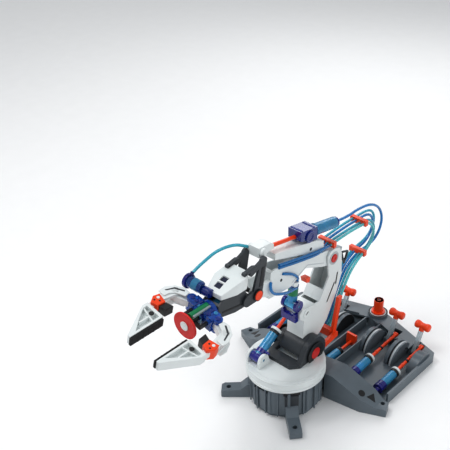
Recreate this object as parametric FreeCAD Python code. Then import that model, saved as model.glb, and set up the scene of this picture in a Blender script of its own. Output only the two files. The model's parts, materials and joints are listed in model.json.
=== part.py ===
import FreeCAD, Part
import math
import os

# A toy hydraulic robot arm on a turntable, with its lever console.
# Millimetres. The origin is the drum's centre on the ground, +Z is up, +Y runs back to the console,
# and the arm reaches out along -Y.

Vector = FreeCAD.Vector
X_AXIS = Vector(1, 0, 0)
Y_AXIS = Vector(0, 1, 0)
Z_AXIS = Vector(0, 0, 1)

# ---- fits and walls ----
running_gap = 0.05      # radial clearance of a shaft in its hole
side_gap = 0.5          # clearance between pieces that move past each other
wall = 2.4              # moulded wall

# ---- drum and turntable ----
drum_radius = 54.0
drum_height = 52.0
drum_sides = 12
turntable_radius = 58.0
turntable_bottom = 52.7
turntable_top = 68.0
spindle_radius = 9.0
leg_hole = (64.0, -55.0)
leg_width = 18.0

# ---- arm pivots, as (y, z) ----
shoulder = (28.0, 78.0)
elbow = (84.0, 205.0)
wrist = (-75.0, 230.0)
arm_half_width = 15.0
hub_half_width = 21.4
hub_step = 16.0  # beyond this the hub is smaller, to pass the shoulder cylinder's collar
ear_inner = 22.0
ear_outer = 30.0
pin_radius = 3.0

# ---- shoulder cylinder, on the far side of the arm ----
shoulder_cylinder_x = -25.0
shoulder_cylinder_foot = (-34.0, 79.0)
shoulder_cylinder_eye = (36.0, 119.0)
shoulder_barrel_length = 46.0

# ---- elbow cylinder, in front of the arm ----
elbow_cylinder_foot = (12.0, 160.0)
elbow_cylinder_top = (17.0, 212.0)
elbow_barrel_length = 40.0

# ---- wrist pitch cylinder, on top of the forearm ----
pitch_cylinder_rear = (103.0, 249.0)
pitch_cylinder_front = (26.0, 263.5)
pitch_rod_end = (-46.0, 277.0)

# ---- hand ----
roll_height = 237.0         # the roll axis is level, along Y
roll_at_rest = 15.5         # degrees about +Y
jaw_pivot = (22.0, -152.0)  # in the gripper's own (x, y), before it is rolled
finger_pivot = (47.0, -184.0)
pad_face = 19.0             # half of the gap between the pads at rest
finger_tip = -249.0

barrel_radius = 7.0
bore_radius = 5.6
rod_radius = 2.6
hose_radius = 2.0
hose_end = (84.0, 77.0)     # (y, z) where the hoses end in their block behind the arm

# ---- console ----
console_half_width = 127.5
console_rear_corner = 204.0
console_apex = 243.0
console_floor = 3.0
console_wall_top = 19.0
foot_hole = (129.5, 64.0)
lever_places = (-96.0, -48.0, 48.0, 96.0)
lever_pivot = (197.0, 7.6)
lever_grip_at = (215.0, 49.0)
master_offset = 9.0
master_front = (90.0, 12.4)
master_pin = (202.4, 19.0)
master_barrel_length = 41.0
channel_x = 9.0
channel_z = 12.0
knob_at = (4.0, 228.0)

os.makedirs("parts", exist_ok=True)


def save(name, shape):
    shape.exportStep("parts/" + name + ".step")


def block(x0, x1, y0, y1, z0, z1):
    return Part.makeBox(x1 - x0, y1 - y0, z1 - z0, Vector(x0, y0, z0))


def prism_yz(outline, x0, x1):
    """A flat outline of (y, z) points, as thick as x0 to x1."""
    points = [Vector(x0, y, z) for y, z in outline]
    face = Part.Face(Part.makePolygon(points + points[:1]))
    return face.extrude(Vector(x1 - x0, 0, 0))


def prism_xy(outline, z0, z1):
    """A flat outline of (x, y) points, as thick as z0 to z1."""
    points = [Vector(x, y, z0) for x, y in outline]
    face = Part.Face(Part.makePolygon(points + points[:1]))
    return face.extrude(Vector(0, 0, z1 - z0))


def prism_xz(outline, y0, y1):
    """A flat outline of (x, z) points, as thick as y0 to y1."""
    points = [Vector(x, y0, z) for x, z in outline]
    face = Part.Face(Part.makePolygon(points + points[:1]))
    return face.extrude(Vector(0, y1 - y0, 0))


def disc_x(centre, radius, x0, x1):
    """A cylinder along X, centred on a (y, z) point."""
    y, z = centre
    return Part.makeCylinder(radius, x1 - x0, Vector(x0, y, z), X_AXIS)


def disc_z(x, y, radius, z0, z1):
    return Part.makeCylinder(radius, z1 - z0, Vector(x, y, z0), Z_AXIS)


def bar(start, end, radius):
    """A round bar between two points."""
    along = end - start
    return Part.makeCylinder(radius, along.Length, start, along)


def tube(start, end, outer, inner):
    along = end - start
    reach = along * (1.0 / along.Length)
    return bar(start, end, outer).cut(bar(start - reach, end + reach, inner))


def link_yz(a, radius_a, b, radius_b, x0, x1):
    """A link with two round ends, centred on two (y, z) points."""
    dy, dz = b[0] - a[0], b[1] - a[1]
    length = math.hypot(dy, dz)
    lean = math.asin((radius_a - radius_b) / length)
    heading = math.atan2(dz, dy)
    corners = []
    for centre, radius, side in ((a, radius_a, 1), (b, radius_b, 1), (b, radius_b, -1), (a, radius_a, -1)):
        angle = heading + side * (math.pi / 2 - lean)
        corners.append((centre[0] + radius * math.cos(angle), centre[1] + radius * math.sin(angle)))
    body = prism_yz(corners, x0, x1)
    return body.fuse([disc_x(a, radius_a, x0, x1), disc_x(b, radius_b, x0, x1)]).removeSplitter()


def at(x, point, shift=0.0, towards=None):
    """A (y, z) point as a 3-D one, moved by shift towards another (y, z) point."""
    y, z = point
    if towards is not None:
        dy, dz = towards[0] - y, towards[1] - z
        length = math.hypot(dy, dz)
        y, z = y + dy / length * shift, z + dz / length * shift
    return Vector(x, y, z)


def mirrored(shape):
    return shape.mirror(Vector(0, 0, 0), X_AXIS)


def group(shapes):
    return Part.makeCompound(shapes)


# ---------------------------------------------------------------- drum, legs and bearing

def drum_corners():
    angles = [math.radians(15 + i * 360 / drum_sides) for i in range(drum_sides)]
    return [(drum_radius * math.cos(a), drum_radius * math.sin(a)) for a in angles]


def base_drum():
    corners = drum_corners()
    foot = [(x * 0.95, y * 0.95) for x, y in corners]
    shell = prism_xy(corners, 6, drum_height).fuse(prism_xy(foot, 0, 6))
    for x, y in corners:
        shell = shell.fuse(disc_z(x * 0.985, y * 0.985, 2.6, 8, drum_height - 3))
    shell = shell.cut(disc_z(0, 0, 46, 4, drum_height + 1))
    boss = disc_z(0, 0, spindle_radius + 5, 4, 34)
    shell = shell.fuse(boss).cut(disc_z(0, 0, spindle_radius + running_gap, 8, 40))
    slot = block(-13, 13, -60, -44, 42, 48)
    return shell.cut(slot).removeSplitter()


def drum_leg():
    """One foot that reaches out from the drum, with its screw hole."""
    reach = math.hypot(*leg_hole)
    root = drum_radius * 0.9
    side = [(root, 0), (reach + 10, 0), (reach + 11, 2), (reach + 11, 10), (reach + 6, 13)]
    side += [(67, 14), (57, 24), (root, 27)]
    leg = prism_xz(side, -leg_width / 2, leg_width / 2)
    leg = leg.cut(disc_z(reach, 0, 3.4, -1, 20))
    leg.rotate(Vector(0, 0, 0), Z_AXIS, math.degrees(math.atan2(leg_hole[1], leg_hole[0])))
    return leg.cut(base_drum())


save("base_drum", base_drum())
save("drum_legs", group([drum_leg(), mirrored(drum_leg())]))

bearing = disc_z(0, 0, 50, drum_height, 61.6).cut(disc_z(0, 0, 43, drum_height - 1, 63))
save("turntable_bearing", bearing)

# ---------------------------------------------------------------- turntable and what stands on it

def turntable():
    half = [
        (0, 57), (41, 57), (41, 62), (54, 62), (54, turntable_bottom), (turntable_radius, turntable_bottom),
        (turntable_radius, 56.7), (57, 57.2), (56, turntable_top - 1), (55, turntable_top),
        (50, turntable_top), (50, 67.2), (49, 67.2), (49, turntable_top), (0, turntable_top),
    ]
    points = [Vector(r, 0, z) for r, z in half]
    ring = Part.Face(Part.makePolygon(points + points[:1])).revolve(Vector(0, 0, 0), Z_AXIS, 360)
    ring = Part.Solid(ring) if ring.ShapeType != "Solid" else ring
    ring = ring.fuse(disc_z(0, 0, spindle_radius, 10, 58))
    arm_well = block(-hub_half_width - side_gap, hub_half_width + side_gap, 6, 50, 60.5, 70)
    slots = [block(side * 39 - 3, side * 39 + 3, 6, 31, 65, 70) for side in (-1, 1)]
    return ring.cut([arm_well] + slots).removeSplitter()


def shoulder_fork():
    near = disc_x(shoulder, 25, ear_inner, ear_outer)
    near_foot = [(-4, 60), (-4, 72), (8, 92), (28, 78), (52, 78), (53, 60)]
    near = near.fuse(prism_yz(near_foot, ear_inner, ear_outer))
    far = disc_x(shoulder, 14, -ear_outer, -ear_inner)
    far = far.fuse(prism_yz([(-4, 60), (-4, 72), (16, 78), (40, 80), (50, 60)], -ear_outer, -ear_inner))
    ears = [near, far]
    front = prism_xy([(-30, -4), (-20, -16), (20, -16), (30, -4), (30, 2), (-30, 2)], turntable_top, 74)
    fork = front.fuse(ears)
    below = block(-80, 80, -80, 120, 0, turntable_top)
    fork = fork.cut(below)
    return fork.cut(disc_x(shoulder, pin_radius + running_gap, -40, 40)).removeSplitter()


def shoulder_pin():
    pin = disc_x(shoulder, pin_radius, -ear_outer, ear_outer)
    near_cap = disc_x(shoulder, 9, ear_outer, ear_outer + 2.5)
    return pin.fuse([near_cap, mirrored(near_cap)])


def pedestal():
    """The white bracket that carries the foot of the shoulder cylinder."""
    y, z = shoulder_cylinder_foot
    outline = [(y - 10, turntable_top), (y + 14, turntable_top), (y + 9, z + 4), (y - 10, z)]
    cheeks = []
    for x0, x1 in ((-38, -34), (-16, -12)):
        cheek = prism_yz(outline, x0, x1).fuse(disc_x((y, z), 9, x0, x1))
        cheeks.append(cheek)
    foot = block(-38, -12, y - 10, y + 16, turntable_top, turntable_top + 2)
    bracket = foot.fuse(cheeks).cut(block(-80, 80, -80, 120, 0, turntable_top))
    bracket = bracket.common(disc_z(0, 0, turntable_radius - 1, 60, 120))
    return bracket.cut(disc_x((y, z), 2 + running_gap, -50, 0)).removeSplitter()


def hose_guide():
    """The orange upright behind the arm, with the block that the hoses end in."""
    arm = prism_yz([(52.5, 70), (84, 74), (84, 82), (53.5, 80)], 24, 29)
    arm = arm.cut(disc_x(shoulder, 25.2, 20, 40))
    upright = prism_yz([(76, 72), (84, 72), (97, 138), (89, 138)], 19, 24)
    hose_block = block(-14, 20, 76, hose_end[0], 71, 84)
    return arm.fuse([upright, hose_block]).removeSplitter()


save("turntable", turntable())
save("shoulder_fork", shoulder_fork())
save("shoulder_pin", shoulder_pin())
save("cylinder_bracket", pedestal())
save("hose_guide", hose_guide())

# ---------------------------------------------------------------- cylinders

def barrel(x, foot, top, length, radius=barrel_radius):
    """A clear barrel with a closed foot, open at the rod's end."""
    start = at(x, foot)
    end = at(x, foot, length, top)
    floor = at(x, foot, 2.0, top)
    mouth = at(x, foot, length + 1, top)
    return bar(start, end, radius).cut(bar(floor, mouth, bore_radius))


def piston_rod(x, foot, top, inside):
    """A rod with its piston inside the barrel and an eye at the outer end."""
    reach = math.hypot(top[0] - foot[0], top[1] - foot[1])
    piston = bar(at(x, foot, inside - 3, top), at(x, foot, inside, top), bore_radius - running_gap)
    shaft = bar(at(x, foot, inside - 1, top), at(x, foot, reach, top), rod_radius)
    return piston.fuse(shaft)


shoulder_line = (shoulder_cylinder_x, shoulder_cylinder_foot, shoulder_cylinder_eye)
shoulder_barrel = barrel(*shoulder_line, shoulder_barrel_length)
shoulder_barrel = shoulder_barrel.fuse(disc_x(shoulder_cylinder_foot, 7.2, -33.5, -16.5))
shoulder_barrel = shoulder_barrel.fuse(disc_x(shoulder_cylinder_foot, 2, -37.5, -12.5))
save("shoulder_barrel", shoulder_barrel.removeSplitter())


def on_shoulder_line(along):
    x, foot, top = shoulder_line
    return at(x, foot, along, top)


collar_start = on_shoulder_line(shoulder_barrel_length)
collar_end = on_shoulder_line(shoulder_barrel_length + 4)
save("shoulder_collar", tube(collar_start, collar_end, barrel_radius + 1.4, rod_radius + running_gap))

shoulder_rod = piston_rod(*shoulder_line, 26)
eye = disc_x(shoulder_cylinder_eye, 6, shoulder_cylinder_x - 4, shoulder_cylinder_x + 4)
save("shoulder_rod", shoulder_rod.fuse(eye).removeSplitter())

# ---------------------------------------------------------------- upper arm

arm_outline = [
    (17, 88), (20, 108), (21, 131), (12, 138), (11, 147), (17, 152), (53, 146), (57, 150), (75, 179),
    (71, 212), (76, 219), (86, 220), (97, 216), (102, 206), (104, 170), (94, 142), (73, 104), (56, 88),
]


def arm_shell(side):
    """One half of the upper arm: an outer wall with a rim that meets the other half."""
    x0, x1 = sorted((side * 0.1, side * arm_half_width))
    shell = prism_yz(arm_outline, x0, x1)
    shell = shell.cut(disc_x(shoulder, 24.4, -40, 40))
    centre = (62, 154)
    inner = [(centre[0] + (y - centre[0]) * 0.86, centre[1] + (z - centre[1]) * 0.93) for y, z in arm_outline]
    hollow0, hollow1 = sorted((0, side * (arm_half_width - wall)))
    hollow = prism_yz(inner, hollow0, hollow1).cut(disc_x(shoulder, 28, -40, 40))
    hollow = hollow.cut(block(-40, 40, -20, 46, 100, 160))
    forearm_way = prism_yz([(60, 184), (120, 184), (120, 240), (60, 240)], -12.5, 12.5)
    shell = shell.cut([hollow, forearm_way])
    recess = disc_x(elbow, 8, *sorted((side * (arm_half_width - 1.2), side * 20)))
    shell = shell.cut([recess, disc_x(elbow, pin_radius + running_gap, -40, 40)])
    if side < 0:
        shell = shell.fuse(disc_x(shoulder_cylinder_eye, 6, -20.5, -arm_half_width + 1))
    slot0, slot1 = sorted((side * (arm_half_width - 1.0), side * 20))
    for low, high in (((88, 162), (72, 136)), ((94, 176), (91, 158))):
        shell = shell.cut(link_yz(low, 1.6, high, 1.6, slot0, slot1))
    return shell.removeSplitter()


save("arm_left_shell", arm_shell(-1))
save("arm_right_shell", arm_shell(1))

hub = disc_x(shoulder, 24, -hub_half_width, hub_half_width)
hub = hub.cut(block(-40, 40, -20, 80, 40, 80))
hub = hub.fuse(disc_x(shoulder, 16, -hub_half_width, hub_half_width)).removeSplitter()
rim = disc_x(shoulder, 30, -40, -hub_step).cut(disc_x(shoulder, 17, -40, -hub_step))
hub = hub.cut(rim)
hub = hub.cut(disc_x(shoulder, pin_radius + running_gap, -40, 40))
save("shoulder_hub", hub)

elbow_pin = disc_x(elbow, pin_radius, -arm_half_width + 0.8, arm_half_width - 0.8)
for side in (-1, 1):
    elbow_pin = elbow_pin.fuse(disc_x(elbow, 6.5, *sorted((side * 13.9, side * 14.7))))
save("elbow_pin", elbow_pin)

bracket_outline = [(104.2, 176), (104.2, 206), (118, 203), (109, 178)]
bracket_hole = prism_yz([(106.5, 186), (106.5, 202), (113, 200.5)], -5, 5)
hose_bracket = prism_yz(bracket_outline, -4, 4).cut(bracket_hole)
save("hose_bracket", hose_bracket)

mount = block(-13, 13, 4, 10.5, 136, 150).fuse(disc_x(elbow_cylinder_foot, 8.6, -13, 13))
mount = mount.cut(disc_x(elbow_cylinder_foot, 9.2, -8.6, 8.6))
mount = mount.cut(block(-8.6, 8.6, 0, 30, 146, 180))
mount = mount.cut(prism_yz(arm_outline, -arm_half_width, arm_half_width))
mount = mount.cut(disc_x(elbow_cylinder_foot, 2 + running_gap, -20, 20))
save("elbow_cylinder_mount", mount.removeSplitter())

elbow_barrel = barrel(0, elbow_cylinder_foot, elbow_cylinder_top, elbow_barrel_length)
elbow_barrel = elbow_barrel.fuse(disc_x(elbow_cylinder_foot, 7.0, -8.1, 8.1))
elbow_barrel = elbow_barrel.fuse(disc_x(elbow_cylinder_foot, 2, -12.8, 12.8))
bore_start = at(0, elbow_cylinder_foot, 2.2, elbow_cylinder_top)
bore_end = at(0, elbow_cylinder_foot, 20, elbow_cylinder_top)
elbow_barrel = elbow_barrel.cut(bar(bore_start, bore_end, bore_radius))
save("elbow_barrel", elbow_barrel.removeSplitter())
save("elbow_rod", piston_rod(0, elbow_cylinder_foot, elbow_cylinder_top, 17))

# ---------------------------------------------------------------- forearm

lower_outline = [
    (-48, 206), (-44, 244), (-36, 246), (39, 227), (70, 222), (84, 217), (93, 214), (96, 205), (93, 196),
    (84, 193), (62, 200), (26, 216), (-5, 202),
]


def forearm_frame():
    """The lower forearm: a trough open at the top, with a tongue at the elbow and ears at the wrist."""
    frame = prism_yz(lower_outline, -11.5, 11.5)
    trough = prism_yz([(-39, 213), (-39, 260), (60, 260), (60, 215), (26, 222), (-5, 208)], -9, 9)
    rod_way = block(-8, 8, 6, 32, 190, 225)
    frame = frame.cut([trough, rod_way])
    for side in (-1, 1):
        x0, x1 = sorted((side * 8.2, side * 12.6))
        frame = frame.fuse(link_yz((-50, 224), 11, wrist, 8.5, x0, x1))
    frame = frame.cut(disc_x(elbow, pin_radius + running_gap, -40, 40))
    return frame.cut(disc_x(wrist, pin_radius + running_gap, -40, 40)).removeSplitter()


beam_outline = [
    (-34, 258), (-34, 267.5), (12, 257), (50, 248), (66, 240), (66, 230), (50, 232), (36, 229), (30, 236),
]


def forearm_beam():
    """The upper beam, which carries the pitch cylinder."""
    beam = prism_yz(beam_outline, -10, 10)
    feet = prism_yz([(36, 229.2), (66, 223.5), (66, 231), (36, 233)], -10, 10)
    beam = beam.fuse(feet).cut(prism_yz(lower_outline, -12, 12))
    return beam.cut(prism_yz([(30, 200), (30, 231), (70, 231), (70, 200)], -7.5, 7.5)).removeSplitter()


save("forearm_frame", forearm_frame())
save("forearm_beam", forearm_beam())

pitch_barrel = bar(at(0, pitch_cylinder_rear), at(0, pitch_cylinder_front), barrel_radius + 0.6)
bore_foot = at(0, pitch_cylinder_rear, 4, pitch_cylinder_front)
bore_mouth = at(0, pitch_cylinder_front, -2, pitch_cylinder_rear)
pitch_barrel = pitch_barrel.cut(bar(bore_foot, bore_mouth, bore_radius))
saddle = prism_yz([(16, 262), (16, 276), (50, 270), (50, 250)], -11, 11)
saddle_core = bar(at(0, pitch_cylinder_rear, 20, pitch_cylinder_front), bore_mouth, bore_radius)
gland = bar(bore_mouth, at(0, pitch_cylinder_front, -20, pitch_cylinder_rear), rod_radius + running_gap)
pitch_barrel = pitch_barrel.fuse(saddle).cut([saddle_core, gland, forearm_beam()])
save("pitch_barrel", pitch_barrel.removeSplitter())

pitch_rod = piston_rod(0, pitch_cylinder_rear, pitch_rod_end, 31)
crosshead = prism_yz([(-62, 274), (-62, 288), (-40, 286), (-34, 282), (-34, 275.5)], -8, 8)
crosshead = crosshead.fuse(disc_x((-56, 281), 2.5, -12.6, 12.6))
save("pitch_rod", pitch_rod.fuse(crosshead).removeSplitter())

wrist_pin = disc_x(wrist, pin_radius, -17, 17)
for side in (-1, 1):
    wrist_pin = wrist_pin.fuse(disc_x(wrist, 8, *sorted((side * 17, side * 18.8))))
save("wrist_pin", wrist_pin)

# ---------------------------------------------------------------- hand

def wrist_crank():
    """The dark frame that the pitch cylinder pushes, with the lugs that hold the cover."""
    crank = None
    for side in (-1, 1):
        x0, x1 = sorted((side * 13.1, side * 16.5))
        plate = link_yz(wrist, 9, (-62, 274), 6, x0, x1)
        plate = plate.fuse(link_yz((-62, 274), 4, (-84, 266), 3.5, x0, x1))
        plate = plate.fuse(link_yz(wrist, 9, (-92, 229), 8, x0, x1))
        crank = plate if crank is None else crank.fuse(plate)
    crank = crank.fuse(block(-16.5, 16.5, -92, -88, 222, 237))
    return crank.cut(disc_x(wrist, pin_radius + running_gap, -40, 40)).removeSplitter()


def hand_trough():
    outline = [(-92.2, 221), (-92.2, 246), (-100, 251), (-132, 251), (-140, 246), (-140, 229), (-112, 222)]
    trough = prism_yz(outline, -13, 13)
    inside = prism_yz([(-94, 226), (-94, 260), (-137, 260), (-137, 232), (-112, 226)], -10.6, 10.6)
    mouth = Part.makeCylinder(8 + running_gap, 26, Vector(0, -146, roll_height), Y_AXIS)
    return trough.cut([inside, mouth]).removeSplitter()


def hand_cover():
    def hexagon(inset):
        half = [(12, -86), (19, -97), (19, -113), (12, -134)]
        middle = -110
        right = [(x - inset, middle + (y - middle) * (1 - inset / 24)) for x, y in half]
        return right + [(-x, y) for x, y in reversed(right)]

    side_outer = [(-80, 251.3), (-80, 269.5), (-86, 269.5), (-113, 266.5), (-134, 258), (-140, 251.3)]
    side_inner = [(-80, 240), (-80, 267), (-86, 267), (-113, 264), (-134, 255.5), (-140, 240)]
    outer = prism_xy(hexagon(0), 251.3, 272).common(prism_yz(side_outer, -30, 30))
    inner = prism_xy(hexagon(2.2), 240, 272).common(prism_yz(side_inner, -30, 30))
    windows = [block(-7, 3, y, y + 8, 240, 280) for y in (-127, -117)]
    return outer.cut([inner] + windows).removeSplitter()


roll_line = (-137.0, 258.5)
roll_barrel = disc_x(roll_line, 7.6, -38, -14)
roll_barrel = roll_barrel.fuse(disc_x(roll_line, 9.6, -42, -38))
roll_barrel = roll_barrel.cut(disc_x(roll_line, bore_radius, -35, -10))
roll_barrel = roll_barrel.cut(block(-19.2, 30, -134.2, -80, 200, 280))
roll_barrel = roll_barrel.cut(block(-15.2, 20, -150, -80, 200, 251.2))
save("wrist_crank", wrist_crank())
save("hand_trough", hand_trough())
save("hand_cover", hand_cover())
save("roll_barrel", roll_barrel.removeSplitter())


def rolled(shape):
    """A gripper piece, turned from its own upright frame to where it rests."""
    turned = shape.copy()
    turned.rotate(Vector(0, 0, roll_height), Y_AXIS, roll_at_rest)
    return turned


def level_bar(x, y0, y1, radius, dz=0.0):
    return Part.makeCylinder(radius, y1 - y0, Vector(x, y0, roll_height + dz), Y_AXIS)


def upright(place, radius, half_height):
    """A vertical pin or eye of the gripper, about the height of the roll axis."""
    return disc_z(place[0], place[1], radius, roll_height - half_height, roll_height + half_height)


def side_of(place, side):
    return (side * place[0], place[1])


def plate_between(a, radius_a, b, radius_b, z0, z1):
    """A flat link with two round ends, centred on two (x, y) points."""
    dx, dy = b[0] - a[0], b[1] - a[1]
    length = math.hypot(dx, dy)
    lean = math.asin((radius_a - radius_b) / length)
    heading = math.atan2(dy, dx)
    corners = []
    for centre, radius, turn in ((a, radius_a, 1), (b, radius_b, 1), (b, radius_b, -1), (a, radius_a, -1)):
        angle = heading + turn * (math.pi / 2 - lean)
        corners.append((centre[0] + radius * math.cos(angle), centre[1] + radius * math.sin(angle)))
    ends = [disc_z(a[0], a[1], radius_a, z0, z1), disc_z(b[0], b[1], radius_b, z0, z1)]
    return prism_xy(corners, z0, z1).fuse(ends).removeSplitter()


def gripper_body():
    """The clear frame that turns on the hand and carries the two jaws."""
    z = roll_height
    body = level_bar(0, -146, -140.4, 13)
    body = body.fuse(block(-20, 20, -160, -144, z - 10, z + 10))
    for side in (-1, 1):
        body = body.fuse(upright(side_of(jaw_pivot, side), 6, 10))
    body = body.cut(level_bar(0, -161, -140, 8.1))
    for side in (-1, 1):
        room = plate_between(side_of(jaw_pivot, side), 8, side_of((34, -150), side), 12, z - 5, z + 5)
        body = body.cut([room, upright(side_of(jaw_pivot, side), 2 + running_gap, 20)])
    return body.removeSplitter()


def jaw_arm(side):
    """The white C-shaped link from the gripper frame to the finger."""
    z = roll_height
    elbow_of_arm = (43, -160)
    points = [side_of(p, side) for p in (jaw_pivot, elbow_of_arm, finger_pivot)]
    arm = plate_between(points[0], 5, points[1], 5.5, z - 4.6, z + 4.6)
    for low in (-8, 4.6):
        arm = arm.fuse(plate_between(points[1], 5.5, points[2], 5, z + low, z + low + 3.4))
    arm = arm.fuse(upright(points[1], 5.5, 8))
    arm = arm.fuse(upright(points[2], 2, 9))
    return arm.cut(upright(points[0], 2 + running_gap, 20)).removeSplitter()


def finger(side):
    """A white ribbed finger; the pad sits on its inner face."""
    z = roll_height
    root = finger_pivot[1] - 14
    outline = [(pad_face + 3, root), (pad_face + 3, finger_tip), (pad_face + 7, finger_tip)]
    outline += [(41, -222), (50, -206), (50, root)]
    body = prism_xy([side_of(p, side) for p in outline], z - 7, z + 7)
    pocket = [(pad_face + 6, root - 4), (pad_face + 6, -238), (37, -222), (46, -208), (46, root - 4)]
    pocket = prism_xy([side_of(p, side) for p in pocket], z + 1, z + 8)
    ribs = [prism_xy([side_of(p, side) for p in rib], z, z + 6) for rib in (
        [(22, -212), (22, -214), (46, -208), (46, -206)], [(32, -198), (34, -198), (34, -226), (32, -226)])]
    body = body.cut(pocket).fuse([rib.common(pocket) for rib in ribs])
    neck = block(*sorted((side * 42, side * 50)), root - 0.1, finger_pivot[1], z - 4.2, z + 4.2)
    body = body.fuse([neck, upright(side_of(finger_pivot, side), 5, 4.2)])
    return body.cut(upright(side_of(finger_pivot, side), 2 + running_gap, 20)).removeSplitter()


def finger_pad(side):
    x0, x1 = sorted((side * pad_face, side * (pad_face + 3)))
    return block(x0, x1, finger_tip - 1, finger_pivot[1] - 16, roll_height - 6, roll_height + 6)


save("gripper_frame", rolled(gripper_body()))
grip_barrel = level_bar(0, -164, -122, 8).cut(level_bar(0, -170, -126, bore_radius))
save("grip_barrel", rolled(grip_barrel))
cup = level_bar(0, -184, -181.6, 17.5).fuse(level_bar(0, -181.6, -178, 9))
cup = cup.cut([level_bar(0, -186, -182.5, 6.2), level_bar(0, -190, -170, 4.1)])
save("suction_cup", rolled(cup.removeSplitter()))
core = level_bar(0, -184.5, -164.2, 4).fuse(level_bar(0, -185, -182.6, 6))
core = core.fuse([block(side * 13 - 1.5, side * 13 + 1.5, -170, -160.2, 234, 240) for side in (-1, 1)])
core = core.fuse(block(-14.5, 14.5, -172.5, -169.5, 234, 240))
save("suction_stem", rolled(core.removeSplitter()))
for name, side in (("left", -1), ("right", 1)):
    save(name + "_jaw_arm", rolled(jaw_arm(side)))
    save(name + "_finger", rolled(finger(side)))
    save(name + "_finger_pad", rolled(finger_pad(side)))
jaw_pins = group([upright(side_of(jaw_pivot, side), 2, 10.5) for side in (-1, 1)])
save("jaw_pins", rolled(jaw_pins))

# ---------------------------------------------------------------- console

def both_sides(points):
    """A right-hand outline of (x, y) points, closed by its mirror image."""
    return points + [(-x, y) for x, y in reversed(points)]


right_outline = [(0, 20), (45, 30), (106, 39), (142, 55), (136, 70), (128, 76)]
right_outline += [(console_half_width, console_rear_corner), (0, console_apex)]
outline = both_sides(right_outline)
drum_room = disc_z(0, 0, drum_radius + 2.2, -1, 100)


def rod_place(x):
    """Where a lever's rod lies: beside the lever, on its outer side."""
    return x + math.copysign(master_offset, x)


def console_shell():
    floor = prism_xy(outline, 0, console_floor)
    tray = both_sides([(0, 62), (60, 66), (110, 70), (124.5, 78), (124.5, 200), (0, 239)])
    walls = prism_xy(outline, 0, console_wall_top).cut(prism_xy(tray, console_floor, 100))
    front = prism_xy([(142, 80), (142, 30), (-142, 30), (-142, 80)], 0, 60)
    walls = walls.cut(front)
    cheek_plan = [(20, 20), (45, 30), (106, 39), (142, 55), (136, 70), (110, 74), (45, 66), (20, 62)]
    cheek_front = [(0, 0), (0, 46), (60, 46), (92, 31), (126, 14), (145, 13), (145, 0)]
    hollow_plan = [(26, 40), (46, 38), (104, 47), (112, 66), (45, 60), (26, 60)]
    lid_front = [(0, 43), (60, 43), (91, 28.5), (124, 12), (124, 60), (0, 60)]
    cheeks = None
    for side in (-1, 1):
        cheek = prism_xy([side_of(p, side) for p in cheek_plan], 0, 60)
        cheek = cheek.common(prism_xz([side_of(p, side) for p in cheek_front], 0, 100))
        hollow = prism_xy([side_of(p, side) for p in hollow_plan], console_floor, 60)
        lid = prism_xz([side_of(p, side) for p in lid_front], 0, 100)
        cheek = cheek.cut(hollow.cut(lid))
        cheeks = cheek if cheeks is None else cheeks.fuse(cheek)
    shelf = prism_xy(both_sides([(0, 213), (124.5, 172), (124.5, 200), (0, 239)]), 16, console_wall_top)
    for x in lever_places:
        rod_x = rod_place(x)
        low, high = sorted((x, rod_x))
        shelf = shelf.cut(block(low - 4.5, high + 4.5, 150, 216, 10, 30))
        walls = walls.cut(block(x - 4.2, x + 4.2, 190, 211.5, 12, 30))
        walls = walls.cut(block(rod_x - 3.4, rod_x + 3.4, 190, 209.3, 12, 30))
    shell = floor.fuse([walls, cheeks, shelf]).cut(drum_room)
    for side in (-1, 1):
        shell = shell.cut(disc_z(side * foot_hole[0], foot_hole[1], 3.4, -1, 30))
        for start in (20, 66):
            for row in (206, 215):
                slot = block(0, 32, -2, 2, 10, 30)
                slot.translate(Vector(start, row - 213, 0))
                slot.rotate(Vector(0, 0, 0), Z_AXIS, -18.2)
                slot.translate(Vector(0, 213, 0))
                shell = shell.cut(slot if side > 0 else mirrored(slot))
    under = block(-200, 200, 100, 260, -60, console_floor)
    for side in (-1, 1):
        x0, x1 = sorted((side * 110, side * 124.6))
        shell = shell.fuse(disc_x((178, console_floor), 24, x0, x1).cut(under))
    for x in lever_places:
        side = 1 if x > 0 else -1
        for near in (9, 18):
            x0, x1 = sorted((x - side * near, x - side * (near + 6)))
            shell = shell.fuse(disc_x((176, console_floor), 27, x0, x1).cut(under))
    for x in (channel_x - 15, channel_x + 13):
        shell = shell.fuse(block(x, x + 2, 62, 208, 2, 20))
    dial = disc_z(*knob_at, 16, 2, 24)
    shell = shell.fuse(dial)
    bearing = [(190, 2), (204, 2), (202, 11), (192, 11)]
    for x in lever_places:
        for middle in (x - 5, x + 5):
            shell = shell.fuse(prism_yz(bearing, middle - 1.5, middle + 1.5))
    shell = shell.cut([disc_x(lever_pivot, 1.5 + running_gap, x - 8, x + 8) for x in lever_places])
    shell = shell.cut(disc_z(*knob_at, 4 + running_gap, 6, 30))
    return shell.removeSplitter()


def master_point(x, along):
    """A point of a master cylinder's axis, along from its front end."""
    y, z = master_front
    dy, dz = master_pin[0] - y, master_pin[1] - z
    length = math.hypot(dy, dz)
    return Vector(x, y + dy / length * along, z + dz / length * along)


def channel_bar(start, end, radius):
    """A round bar along the centre channel, between two places in y."""
    return bar(Vector(channel_x, start, channel_z), Vector(channel_x, end, channel_z), radius)


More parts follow.
